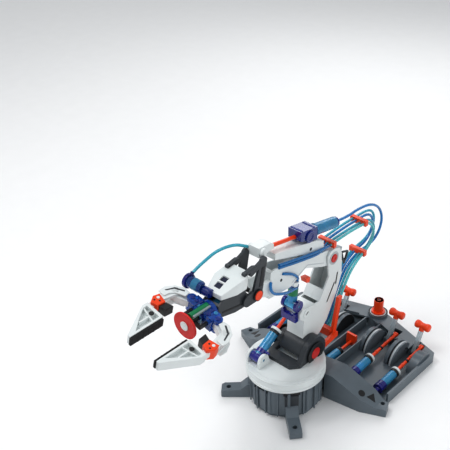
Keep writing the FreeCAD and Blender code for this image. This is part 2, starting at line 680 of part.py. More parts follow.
master_reach = math.hypot(master_pin[0] - master_front[0], master_pin[1] - master_front[1])
barrels, collars, caps, lever_pins, saddles = [], [], [], [], []
for x in lever_places:
    mx = rod_place(x)
    collar_at = master_barrel_length
    outside = bar(master_point(mx, 0), master_point(mx, collar_at), barrel_radius)
    barrels.append(outside.cut(bar(master_point(mx, 3), master_point(mx, 60), bore_radius)))
    start, end = master_point(mx, collar_at), master_point(mx, collar_at + 4)
    collars.append(tube(start, end, 8.2, rod_radius + running_gap))
    caps.append(bar(master_point(mx, -4), master_point(mx, 0), 8.2))
    lever_pins.append(disc_x(lever_pivot, 1.5, x - 7, x + 7))
    seat = bar(master_point(mx, 0), master_point(mx, 40), barrel_radius + running_gap)
    saddles.append(block(mx - 6, mx + 6, 100, 105, 2, 9).cut(seat))

barrels.append(channel_bar(76, 120, barrel_radius).cut(channel_bar(79, 136, bore_radius)))
caps.append(channel_bar(72, 76, 8.2))
seat = channel_bar(76, 136, barrel_radius + running_gap)
saddles.append(block(channel_x - 6, channel_x + 6, 96, 101, 2, 9).cut(seat))
save("console_shell", console_shell().fuse(saddles).removeSplitter())
save("master_barrels", group(barrels))
save("master_collars", group(collars))
save("master_caps", group(caps))
save("lever_pins", group(lever_pins))

for index, x in enumerate(lever_places, 1):
    side = 1 if x > 0 else -1
    mx = rod_place(x)
    lever = link_yz(lever_pivot, 4, lever_grip_at, 2.6, x - 3.2, x + 3.2)
    boss = disc_x(master_pin, 2.2, *sorted((x + side * 3, mx - side * 3.4)))
    lever = lever.fuse(boss).cut(disc_x(lever_pivot, 1.5 + running_gap, x - 10, x + 10))
    grip = disc_x(lever_grip_at, 4.4, x - 9, x + 9)
    save("lever_%d" % index, group([lever.cut(grip).removeSplitter(), grip]))
    rod = bar(master_point(mx, 22), master_point(mx, 26), bore_radius - running_gap)
    rod = rod.fuse(bar(master_point(mx, 25), master_point(mx, master_reach), rod_radius))
    rod = rod.fuse(disc_x(master_pin, 3.6, mx - 3, mx + 3))
    save("master_rod_%d" % index, rod.removeSplitter())

slider = channel_bar(100, 104, bore_radius - running_gap)
slider = slider.fuse(channel_bar(103, 149, rod_radius))
slider = slider.fuse(block(channel_x - 9, channel_x + 9, 148, 152, 5, 27))
save("grip_slider", slider.removeSplitter())

knob = disc_z(*knob_at, 7.6, 24.4, 48).cut(disc_z(*knob_at, 3, 36, 50))
knob = knob.fuse([disc_z(*knob_at, 4, 8, 26), disc_z(*knob_at, 11, 24.4, 27)])
save("roll_knob", knob.removeSplitter())

# ---------------------------------------------------------------- hoses and their combs

comb_places = {"elbow": (87.0, 224.5), "upper": (161.0, 225.0), "lower": (163.0, 173.0)}


def hose(route):
    """A tube along straight runs joined by tangent arcs, each as large as its two runs allow."""
    points = [Vector(*p) for p in route]
    edges, radii, last = [], [], points[0]
    for a, b, c in zip(points, points[1:], points[2:]):
        before, after = b - a, c - b
        turn = before.getAngle(after)
        cut = 0.45 * min(before.Length, after.Length)
        radii.append(cut / math.tan(turn / 2))
        start = b - before.normalize() * cut
        end = b + after.normalize() * cut
        inward = (start + end) * 0.5 - b
        bow = radii[-1] / math.cos(turn / 2) - radii[-1]
        middle = b + inward.normalize() * bow
        edges.append(Part.LineSegment(last, start).toShape())
        edges.append(Part.Arc(start, middle, end).toShape())
        last = end
    edges.append(Part.LineSegment(last, points[-1]).toShape())
    path = Part.Wire(edges)
    section = Part.Wire(Part.Circle(points[0], points[1] - points[0], hose_radius).toShape())
    tube_solid = path.makePipeShell([section], True, True)
    expected = math.pi * hose_radius ** 2 * path.Length
    print("hose %.0f mm, radii %s, volume / expected %.3f" % (
        path.Length, [round(r) for r in radii], tube_solid.Volume / expected))
    return tube_solid


hose_routes = {
    "hose_1": [(-9, 82, 224.5), (-9, 120, 227.5), (-9.5, 160, 226), (-10, 199, 224), (-11, 216, 208),
               (-11, 215, 187), (-10.5, 198, 173), (-10, 165, 171), (-10, 139, 159), (-10, 123, 139),
               (-10, 111, 117), (-9.5, 105, 98), (-9, 97, 84), (-9, 84, 77)],
    "hose_2": [(-3, 82, 224.5), (-3, 119, 226.5), (-3.5, 158, 225.5), (-4.5, 189, 223), (-5, 205, 208),
               (-5.5, 204, 188), (-5.5, 190, 174), (-5, 163, 172), (-5, 138, 160), (-5, 122, 140),
               (-5, 110, 118), (-4.5, 104, 98), (-4.5, 97, 84), (-4.5, 84, 77)],
    "hose_3": [(3, 82, 224.5), (3, 118, 225.5), (3.5, 152, 224.5), (4.5, 178, 222), (5, 193, 208),
               (5, 193, 189), (5, 180, 175), (5, 158, 171), (5, 136, 159), (5, 121, 139),
               (5, 110, 116), (4.5, 104, 98), (4.5, 97, 84), (4.5, 84, 77)],
    "hose_4": [(9, 82, 224.5), (9, 117, 226), (9.5, 147, 225), (10, 170, 222.5), (11, 184, 208),
               (11, 184, 190), (10.5, 172, 177), (10, 154, 170), (10, 134, 157), (10, 120, 137),
               (10, 109, 116), (9.5, 104, 98), (9, 97, 84), (9, 84, 77)],
    "pitch_hose": [(0, 104.5, 248.7), (0, 130, 244.5), (0, 158, 246), (0, 188, 241), (0, 211, 226),
                   (0, 222, 203), (0, 216, 181), (0, 196, 169), (0, 166, 170.5), (0, 138, 160.5),
                   (0, 122, 140.5), (0, 110, 118), (0, 104, 98), (0, 97, 84), (0, 84, 77)],
}
beside_block = block(-20, 20, 70, hose_end[0] + 0.3, 60, 100)
hoses = {name: hose(route).cut(beside_block) for name, route in hose_routes.items()}
combs = []
for y, z in comb_places.values():
    comb = block(-14, 14, y - 3, y + 3, z - 4.2, z + 4.5)
    combs.append(comb.cut(list(hoses.values())))
for name, shape in hoses.items():
    save(name, shape)
save("hose_combs", group(combs))
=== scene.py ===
import json
import math

import bmesh
import bpy
from mathutils import Matrix, Vector

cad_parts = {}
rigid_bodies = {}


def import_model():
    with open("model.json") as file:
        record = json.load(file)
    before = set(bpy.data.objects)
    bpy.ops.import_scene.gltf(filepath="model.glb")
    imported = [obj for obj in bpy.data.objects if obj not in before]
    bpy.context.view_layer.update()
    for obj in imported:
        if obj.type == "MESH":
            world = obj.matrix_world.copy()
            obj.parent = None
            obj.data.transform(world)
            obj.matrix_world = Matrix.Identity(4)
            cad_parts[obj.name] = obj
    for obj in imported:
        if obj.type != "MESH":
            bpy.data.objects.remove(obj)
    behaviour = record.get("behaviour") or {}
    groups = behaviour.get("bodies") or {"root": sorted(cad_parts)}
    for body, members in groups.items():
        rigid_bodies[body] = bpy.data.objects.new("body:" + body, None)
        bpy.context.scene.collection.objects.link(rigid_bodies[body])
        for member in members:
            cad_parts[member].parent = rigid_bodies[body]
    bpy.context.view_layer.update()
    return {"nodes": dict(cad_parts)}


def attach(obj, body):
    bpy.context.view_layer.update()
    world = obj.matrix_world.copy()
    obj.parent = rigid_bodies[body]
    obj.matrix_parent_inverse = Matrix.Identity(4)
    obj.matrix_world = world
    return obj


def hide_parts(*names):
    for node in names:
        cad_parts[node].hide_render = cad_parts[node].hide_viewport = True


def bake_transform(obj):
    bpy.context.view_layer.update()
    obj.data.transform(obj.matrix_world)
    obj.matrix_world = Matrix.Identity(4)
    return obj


# A toy hydraulic robot arm with its lever console. Metres, +Z up, the arm reaches along -Y.

for leftover in list(bpy.data.objects):
    bpy.data.objects.remove(leftover)

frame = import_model()
nodes = frame["nodes"]
MM = 0.001
HOSE_RADIUS = 2 * MM
X_AXIS = Vector((1, 0, 0))
Y_AXIS = Vector((0, 1, 0))
Z_AXIS = Vector((0, 0, 1))

# ---------------------------------------------------------------- camera, floor and light

scene = bpy.context.scene


def add_camera():
    camera_data = bpy.data.cameras.new("camera")
    camera_data.sensor_width = 36
    camera_data.lens = 64
    camera_data.shift_x = -0.1222
    camera_data.shift_y = 0.2
    camera_data.clip_end = 20
    camera = bpy.data.objects.new("camera", camera_data)
    right = Vector((0.756, 0.655, 0)).normalized()
    back = Vector((0.520, -0.600, 0.608)).normalized()
    up = back.cross(right).normalized()
    right = up.cross(back)
    turn = Matrix((right, up, back)).transposed().to_4x4()
    camera.matrix_world = Matrix.Translation((0.5675, -0.6679, 0.8177)) @ turn
    scene.collection.objects.link(camera)
    scene.camera = camera


def add_light(name, place, size, power, aim=(0, 0, 0.1)):
    light_data = bpy.data.lights.new(name, "AREA")
    light_data.size = size
    light_data.energy = power
    light = bpy.data.objects.new(name, light_data)
    light.location = place
    light.rotation_euler = (Vector(aim) - Vector(place)).to_track_quat("-Z", "Y").to_euler()
    scene.collection.objects.link(light)


def add_surroundings():
    world = bpy.data.worlds.new("studio")
    world.use_nodes = True
    background = world.node_tree.nodes["Background"]
    background.inputs["Color"].default_value = (0.96, 0.98, 1.0, 1)
    background.inputs["Strength"].default_value = 0.62
    scene.world = world
    scene.view_settings.view_transform = "Standard"
    scene.view_settings.gamma = 0.85
    add_light("key", (-0.5, -0.5, 1.6), 0.7, 11)
    add_light("fill", (1.4, 0.1, 0.8), 0.9, 4)
    add_light("rim", (-0.6, 1.2, 1.0), 0.9, 5)

    floor_mesh = bpy.data.meshes.new("floor")
    reach = 6
    corners = [(-reach, -reach, 0), (reach, -reach, 0), (reach, reach, 0), (-reach, reach, 0)]
    floor_mesh.from_pydata(corners, [], [(0, 1, 2, 3)])
    floor = bpy.data.objects.new("floor", floor_mesh)
    floor.location.z = -0.0003
    scene.collection.objects.link(floor)
    floor_mesh.materials.append(surface("floor_paint", (0.95, 0.95, 0.95), 0.8, 0.0, 40, variation=0.01))


# ---------------------------------------------------------------- materials

def surface(name, colour, roughness, bump=0.00006, grain=2600, variation=0.10, metallic=0.0, coat=0.0,
            clear=0.0):
    """A moulded surface: colour that varies slightly, fine grain in the bump, uneven gloss. A large
    variation, as on blue_clear, paints highlights into the colour.
    """
    material = bpy.data.materials.new(name)
    material.use_nodes = True
    tree = material.node_tree
    shader = tree.nodes["Principled BSDF"]
    shader.inputs["Metallic"].default_value = metallic
    shader.inputs["Coat Weight"].default_value = coat
    shader.inputs["Coat Roughness"].default_value = 0.12
    shader.inputs["Transmission Weight"].default_value = clear
    shader.inputs["IOR"].default_value = 1.35 if clear else 1.48

    where = tree.nodes.new("ShaderNodeTexCoord")
    cloud = tree.nodes.new("ShaderNodeTexNoise")
    cloud.inputs["Scale"].default_value = 28
    cloud.inputs["Detail"].default_value = 3
    tree.links.new(where.outputs["Object"], cloud.inputs["Vector"])
    ramp = tree.nodes.new("ShaderNodeValToRGB")
    ramp.color_ramp.elements[0].position = 0.3
    ramp.color_ramp.elements[1].position = 0.72
    dark = [c * (1 - variation) for c in colour]
    light = [min(1.0, c * (1 + variation * 0.6)) for c in colour]
    ramp.color_ramp.elements[0].color = (*dark, 1)
    ramp.color_ramp.elements[1].color = (*light, 1)
    tree.links.new(cloud.outputs["Fac"], ramp.inputs["Fac"])
    tree.links.new(ramp.outputs["Color"], shader.inputs["Base Color"])

    gloss = tree.nodes.new("ShaderNodeMapRange")
    gloss.inputs["To Min"].default_value = roughness * 0.82
    gloss.inputs["To Max"].default_value = min(1.0, roughness * 1.22)
    tree.links.new(cloud.outputs["Fac"], gloss.inputs["Value"])
    tree.links.new(gloss.outputs["Result"], shader.inputs["Roughness"])

    fine = tree.nodes.new("ShaderNodeTexNoise")
    fine.inputs["Scale"].default_value = grain
    fine.inputs["Detail"].default_value = 2
    tree.links.new(where.outputs["Object"], fine.inputs["Vector"])
    raise_it = tree.nodes.new("ShaderNodeBump")
    raise_it.inputs["Distance"].default_value = bump
    raise_it.inputs["Strength"].default_value = 0.6
    tree.links.new(fine.outputs["Fac"], raise_it.inputs["Height"])
    tree.links.new(raise_it.outputs["Normal"], shader.inputs["Normal"])
    return material


WHITE = surface("white_shell", (0.74, 0.78, 0.78), 0.34, coat=0.15, variation=0.03)
LIGHT_GREY = surface("light_grey_shell", (0.50, 0.54, 0.56), 0.38, variation=0.06)
GUNMETAL = surface("gunmetal_plastic", (0.125, 0.155, 0.180), 0.36, variation=0.12, coat=0.1)
DARK_GREY = surface("dark_grey_plastic", (0.045, 0.052, 0.060), 0.38, variation=0.12)
NAVY = surface("navy_panel", (0.006, 0.010, 0.045), 0.25, coat=0.4, variation=0.2)
BLACK = surface("black_plastic", (0.012, 0.013, 0.015), 0.42, variation=0.15)
ORANGE = surface("orange_plastic", (0.85, 0.065, 0.006), 0.34, coat=0.08, variation=0.07)
RED = surface("red_plastic", (0.60, 0.012, 0.008), 0.34, coat=0.08, variation=0.08)
RED_RUBBER = surface("red_rubber", (0.66, 0.016, 0.014), 0.48, variation=0.10)
PAD_RUBBER = surface("black_rubber", (0.010, 0.010, 0.011), 0.72, bump=0.0002, grain=1400, variation=0.2)
STEEL = surface("steel_pin", (0.55, 0.56, 0.58), 0.28, metallic=1.0, grain=900)
# blue_clear's variation of 0.5 gives light cyan patches: painted highlights, standing in for the cyan glints
# on the gripper frame and roll barrel.
BLUE_CLEAR = surface("blue_clear", (0.03, 0.15, 0.62), 0.08, 0.0, clear=0.6, coat=0.4, variation=0.5)
DEEP_BLUE = surface("deep_blue_clear", (0.008, 0.035, 0.30), 0.07, 0.0, clear=0.35, coat=0.8, variation=0.3)
CYAN_CLEAR = surface("cyan_clear", (0.10, 0.55, 0.92), 0.07, 0.0, clear=0.6, coat=0.4, variation=0.2)
PURPLE_CLEAR = surface("purple_clear", (0.035, 0.035, 0.36), 0.08, 0.0, clear=0.4, coat=0.6, variation=0.4)
CLEAR = surface("clear_plastic", (0.62, 0.70, 0.74), 0.08, 0.0, clear=0.55, coat=0.5, variation=0.06)
CYAN_FLUID = surface("cyan_fluid", (0.01, 0.42, 0.80), 0.12, 0.0, clear=0.2, coat=0.4, variation=0.15)
GREEN_FLUID = surface("green_fluid", (0.01, 0.26, 0.10), 0.12, 0.0, clear=0.15, coat=0.4, variation=0.15)
TEAL_HOSE = surface("teal_hose", (0.07, 0.52, 0.66), 0.16, 0.00002, 900, clear=0.35, coat=0.5)
PALE_HOSE = surface("pale_hose", (0.16, 0.66, 0.70), 0.16, 0.00002, 900, clear=0.35, coat=0.5)
BLUE_HOSE = surface("blue_hose", (0.03, 0.26, 0.62), 0.16, 0.00002, 900, clear=0.35, coat=0.5)

FINISHES = {
    WHITE: ["turntable", "cylinder_bracket", "arm_left_shell", "arm_right_shell", "forearm_beam",
            "forearm_frame", "hand_cover", "left_finger", "right_finger", "left_jaw_arm", "right_jaw_arm",
            "shoulder_collar", "master_collars", "pitch_rod"],
    GUNMETAL: ["base_drum", "drum_legs", "console_shell"],
    DARK_GREY: ["shoulder_fork", "shoulder_hub", "wrist_crank", "hand_trough", "turntable_bearing"],
    BLACK: ["suction_stem", "wrist_pin"],
    LIGHT_GREY: ["hose_bracket"],
    ORANGE: ["shoulder_rod", "elbow_rod", "hose_guide", "hose_combs", "grip_slider",
             "master_rod_1", "master_rod_2", "master_rod_3", "master_rod_4", "roll_knob"],
    RED: ["shoulder_pin", "elbow_pin"],
    RED_RUBBER: ["suction_cup"],
    PAD_RUBBER: ["left_finger_pad", "right_finger_pad"],
    STEEL: ["jaw_pins", "lever_pins"],
    BLUE_CLEAR: ["gripper_frame", "roll_barrel"],
    DEEP_BLUE: ["pitch_barrel"],
    CYAN_CLEAR: ["shoulder_barrel", "elbow_barrel", "grip_barrel", "master_barrels"],
    PURPLE_CLEAR: ["master_caps", "elbow_cylinder_mount"],
    CLEAR: ["lever_1", "lever_2", "lever_3", "lever_4"],
}
EDGE_ROUNDING = {
    WHITE: 0.0007, GUNMETAL: 0.0006, DARK_GREY: 0.0006, LIGHT_GREY: 0.0005, ORANGE: 0.0004, RED: 0.0004,
    BLUE_CLEAR: 0.0004, DEEP_BLUE: 0.0012, PAD_RUBBER: 0.0004, BLACK: 0.0004,
}


def round_edges(piece, width):
    """Small rounded edges, as moulding leaves them; the shape itself stays."""
    for face in piece.data.polygons:
        face.use_smooth = True
    weld = piece.modifiers.new("weld", "WELD")
    weld.merge_threshold = 0.00001
    bevel = piece.modifiers.new("bevel", "BEVEL")
    bevel.width = width
    bevel.segments = 2
    bevel.limit_method = "ANGLE"
    bevel.angle_limit = math.radians(35)
    bevel.use_clamp_overlap = True
    normals = piece.modifiers.new("normals", "WEIGHTED_NORMAL")
    normals.keep_sharp = True


def finish_nodes():
    for material, names in FINISHES.items():
        for name in names:
            piece = nodes[name]
            piece.data.materials.clear()
            piece.data.materials.append(material)
            if material in EDGE_ROUNDING:
                round_edges(piece, EDGE_ROUNDING[material])


# ---------------------------------------------------------------- mesh helpers

def mm(*values):
    return Vector([value * MM for value in values])


def add_piece(name, mesh, body, material):
    mesh.materials.clear()
    mesh.materials.append(material)
    for face in mesh.polygons:
        face.use_smooth = True
    piece = bpy.data.objects.new(name, mesh)
    scene.collection.objects.link(piece)
    if body:
        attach(piece, body)
    return piece


def side_vectors(axis):
    across = axis.orthogonal().normalized()
    return across, axis.cross(across).normalized()


def turned(name, start, axis, profile, body, material, sides=36, flutes=0, depth=0.0,
           above=None):
    """A turned piece. The profile is (distance, radius) pairs along the axis, in millimetres.

    With above, only the part higher than that is kept.
    """
    start, axis = Vector(start), Vector(axis).normalized()
    across, up = side_vectors(axis)
    shape = bmesh.new()
    rings = []
    for distance, radius in profile:
        centre = start + axis * distance * MM
        ring = []
        for i in range(sides):
            angle = 2 * math.pi * i / sides
            r = max(radius, 0.02) * MM
            if flutes and i * flutes * 2 // sides % 2:
                r -= depth * MM
            ring.append(shape.verts.new(centre + across * math.cos(angle) * r + up * math.sin(angle) * r))
        rings.append(ring)
    for low, high in zip(rings, rings[1:]):
        for i in range(sides):
            j = (i + 1) % sides
            shape.faces.new((low[i], low[j], high[j], high[i]))
    shape.faces.new(list(reversed(rings[0])))
    shape.faces.new(rings[-1])
    if above is not None:
        everything = shape.verts[:] + shape.edges[:] + shape.faces[:]
        cut = bmesh.ops.bisect_plane(shape, geom=everything, plane_co=(0, 0, above * MM), plane_no=(0, 0, 1),
                                     clear_inner=True)
        rim = [item for item in cut["geom_cut"] if isinstance(item, bmesh.types.BMEdge)]
        bmesh.ops.edgeloop_fill(shape, edges=rim)
    bmesh.ops.recalc_face_normals(shape, faces=shape.faces)
    mesh = bpy.data.meshes.new(name)
    shape.to_mesh(mesh)
    shape.free()
    piece = add_piece(name, mesh, body, material)
    bevel = piece.modifiers.new("bevel", "BEVEL")
    bevel.width = 0.00018
    bevel.segments = 2
    bevel.limit_method = "ANGLE"
    bevel.angle_limit = math.radians(40)
    piece.modifiers.new("normals", "WEIGHTED_NORMAL")
    return piece


def plate(name, outline, low, high, body, material, rounding=0.4):
    """A flat piece with rounded edges: an outline of points, pushed from the offset low to high."""
    shape = bmesh.new()
    bottom = [shape.verts.new(Vector(point) + Vector(low)) for point in outline]
    top = [shape.verts.new(Vector(point) + Vector(high)) for point in outline]
    count = len(outline)
    for i in range(count):
        j = (i + 1) % count
        shape.faces.new((bottom[i], bottom[j], top[j], top[i]))
    shape.faces.new(list(reversed(bottom)))
    shape.faces.new(top)
    bmesh.ops.recalc_face_normals(shape, faces=shape.faces)
    mesh = bpy.data.meshes.new(name)
    shape.to_mesh(mesh)
    shape.free()
    piece = add_piece(name, mesh, body, material)
    bevel = piece.modifiers.new("bevel", "BEVEL")
    bevel.width = rounding * MM
    bevel.segments = 2
    bevel.limit_method = "ANGLE"
    bevel.angle_limit = math.radians(35)
    piece.modifiers.new("normals", "WEIGHTED_NORMAL")
    return piece


def plate_yz(name, outline, x0, x1, body, material, slot, rounding=0.4):
    points = [mm(0, y, z) for y, z in outline]
    return plate(name, points, mm(x0, 0, 0), mm(x1, 0, 0), body, material, rounding)


# ---------------------------------------------------------------- hoses

def spline_curve(name, route):
    """A smooth curve with the route's points as its control points."""
    curve = bpy.data.curves.new(name, "CURVE")
    curve.dimensions = "3D"
    spline = curve.splines.new("NURBS")
    spline.points.add(len(route) - 1)
    for point, place in zip(spline.points, route):
        point.co = (*[value * MM for value in place], 1)
    spline.order_u = 3
    spline.use_endpoint_u = True
    spline.resolution_u = 10
    curve.bevel_resolution = 4
    curve.use_fill_caps = True
    return curve


def hose(name, route, material, node=None):
    """A hose along its route, as a mesh."""
    curve = spline_curve(name, route)
    holder = bpy.data.objects.new(name + "_line", curve)
    scene.collection.objects.link(holder)
    bpy.context.view_layer.update()
    bare = bpy.data.meshes.new_from_object(holder)
    curve.bevel_depth = HOSE_RADIUS
    bpy.context.view_layer.update()
    mesh = bpy.data.meshes.new_from_object(holder)
    bpy.data.objects.remove(holder)
    bpy.data.meshes.remove(bare)
    mesh.name = name
    piece = add_piece(name, mesh, None, material)
    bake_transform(piece)
    if node:
        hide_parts(node)


HOSE_ROUTES = {
    "hose_1": [(-9, 82, 224.5), (-9, 120, 227.5), (-9.5, 160, 226), (-10, 199, 224), (-11, 216, 208),
               (-11, 215, 187), (-10.5, 198, 173), (-10, 165, 171), (-10, 139, 159), (-10, 123, 139),
               (-10, 111, 117), (-9.5, 105, 98), (-9, 97, 84), (-9, 84.3, 77)],
    "hose_2": [(-3, 82, 224.5), (-3, 119, 226.5), (-3.5, 158, 225.5), (-4.5, 189, 223), (-5, 205, 208),
               (-5.5, 204, 188), (-5.5, 190, 174), (-5, 163, 172), (-5, 138, 160), (-5, 122, 140),
               (-5, 110, 118), (-4.5, 104, 98), (-4.5, 97, 84), (-4.5, 84.3, 77)],
    "hose_3": [(3, 82, 224.5), (3, 118, 225.5), (3.5, 152, 224.5), (4.5, 178, 222), (5, 193, 208),
               (5, 193, 189), (5, 180, 175), (5, 158, 171), (5, 136, 159), (5, 121, 139),
               (5, 110, 116), (4.5, 104, 98), (4.5, 97, 84), (4.5, 84.3, 77)],
    "hose_4": [(9, 82, 224.5), (9, 117, 226), (9.5, 147, 225), (10, 170, 222.5), (11, 184, 208),
               (11, 184, 190), (10.5, 172, 177), (10, 154, 170), (10, 134, 157), (10, 120, 137),
               (10, 109, 116), (9.5, 104, 98), (9, 97, 84), (9, 84.3, 77)],
    "pitch_hose": [(0, 104.5, 248.7), (0, 130, 244.5), (0, 158, 246), (0, 188, 241), (0, 211, 226),
                   (0, 222, 203), (0, 216, 181), (0, 196, 169), (0, 166, 170.5), (0, 138, 160.5),
                   (0, 122, 140.5), (0, 110, 118), (0, 104, 98), (0, 97, 84), (0, 84.3, 77)],
}


def arm_hoses():
    """The bundle behind the arm, from the elbow comb to the block on the turntable."""
    colours = [TEAL_HOSE, BLUE_HOSE, TEAL_HOSE, PALE_HOSE, BLUE_HOSE]
    for material, (name, route) in zip(colours, HOSE_ROUTES.items()):
        upward = list(reversed(route))
        hose(name + "_tube", upward, material,
             node=name)


def forearm_hoses():
    """Short hoses along the forearm, at the elbow cylinder and up to the roll cylinder."""
    for index, (x, drop) in enumerate(((12.9, 0), (12.9, -4.3))):
        route = [(9 - 6 * index, 80.5, 224.5), (11 - 3 * index, 66, 228 + drop), (x, 48, 232 + drop),
                 (x, 20, 238 + drop), (x, -8, 244.5 + drop), (x, -30, 250 + drop)]
        hose("forearm_hose_%d" % (index + 1), route, BLUE_HOSE)
    elbow_feed = [(11.6, -22, 232), (13.5, -14, 229), (14, -2, 222), (12.5, 8, 212), (8.5, 14, 203),
                  (5, 15.5, 196)]
    hose("elbow_cylinder_feed", elbow_feed, BLUE_HOSE)
    wrist_loop = [(13.2, -46, 232), (17, -52, 226), (18, -46, 216), (17.5, -32, 208), (15, -15, 200),
                  (12, -2, 195), (8.2, 9, 191)]
    hose("wrist_loop", wrist_loop, BLUE_HOSE)
    roll_feed = [(-40, -130.5, 266), (-38, -121, 272), (-34, -110, 279), (-29, -100, 286.5), (-22, -88, 291),
                 (-16, -76, 291), (-12, -66, 286), (-11, -56, 280)]
    hose("roll_cylinder_feed", roll_feed, TEAL_HOSE)


# ---------------------------------------------------------------- pieces on the arm

def cylinder_details():
    """Rod sleeves, fluid, seals and fittings of the shoulder, elbow and pitch cylinders."""
    foot, eye = mm(-25, -34, 79), mm(-25, 36, 119)
    along = eye - foot
    turned("shoulder_fluid", foot, along, [(8, 5.3), (22, 5.3)],
           "shoulder_cylinder", CYAN_FLUID)
    turned("shoulder_band", foot, along, [(6.5, 7.05), (7, 7.5), (13, 7.5), (13.5, 7.05)],
           "shoulder_cylinder", PURPLE_CLEAR)
    turned("shoulder_clevis", foot - X_AXIS * 0.0087, X_AXIS,
           [(0, 6.4), (0.9, 7.5), (16.5, 7.5), (17.4, 6.4)],
           "shoulder_cylinder", PURPLE_CLEAR)
    turned("shoulder_seal", foot, along, [(41.5, 7.1), (42, 7.7), (45.3, 7.7), (45.8, 7.1)],
           "shoulder_cylinder", BLACK)
    turned("shoulder_port", foot + along.normalized() * 0.012 + X_AXIS * 0.006, X_AXIS,
           [(0, 2.2), (5, 2.2), (5.2, 1.5), (8, 1.5)], "shoulder_cylinder", PURPLE_CLEAR)
    foot, top = mm(0, 12, 160), mm(0, 17, 212)
    along = top - foot
    turned("elbow_fluid", foot, along, [(2.5, 5.3), (12, 5.3)], "elbow_cylinder", CYAN_FLUID)
    turned("elbow_seal", foot, along, [(28, 7.05), (28.4, 7.5), (31, 7.5), (31.4, 7.05)],
           "elbow_cylinder", BLUE_CLEAR)
    turned("elbow_green", foot, along, [(15, 7.06), (15.2, 7.25), (25, 7.25), (25.2, 7.06)],
           "elbow_cylinder", GREEN_FLUID)
    rear, front, rod_end = mm(0, 103, 249), mm(0, 26, 263.5), mm(0, -46, 277)
    along = rod_end - front
    turned("pitch_sleeve", front, along, [(1, 2.75), (62, 2.75)], "pitch_piston", ORANGE)
    along = front - rear
    turned("pitch_body", rear, along,
           [(3, 7.7), (4, 8.3), (44, 8.3), (45, 7.8), (47, 7.8), (48, 9.2), (50, 9.2)],
           "forearm", CYAN_CLEAR)
    turned("pitch_nozzle", rear, along, [(-6, 2.6), (-2, 2.8), (-1.5, 4.2), (2.6, 6.6), (3, 7.6)],
           "forearm", BLUE_CLEAR)
    for side in (-1, 1):
        turned("pitch_boss_%s" % ("near" if side > 0 else "far"), mm(side * 10.9, 34, 262), X_AXIS * side,
               [(0, 8.6), (1.6, 8.6), (2.2, 8.0), (2.2, 5.2), (1.2, 4.6), (1.2, 0.2)],
               "forearm", DEEP_BLUE)
    for index, place in enumerate((20, 44)):
        turned("pitch_rib_%d" % index, mm(-10, place, 275.2 - (place - 16) * 0.176), X_AXIS,
               [(0, 1.5), (0.4, 2.0), (19.6, 2.0), (20, 1.5)], "forearm", DEEP_BLUE, sides=16)


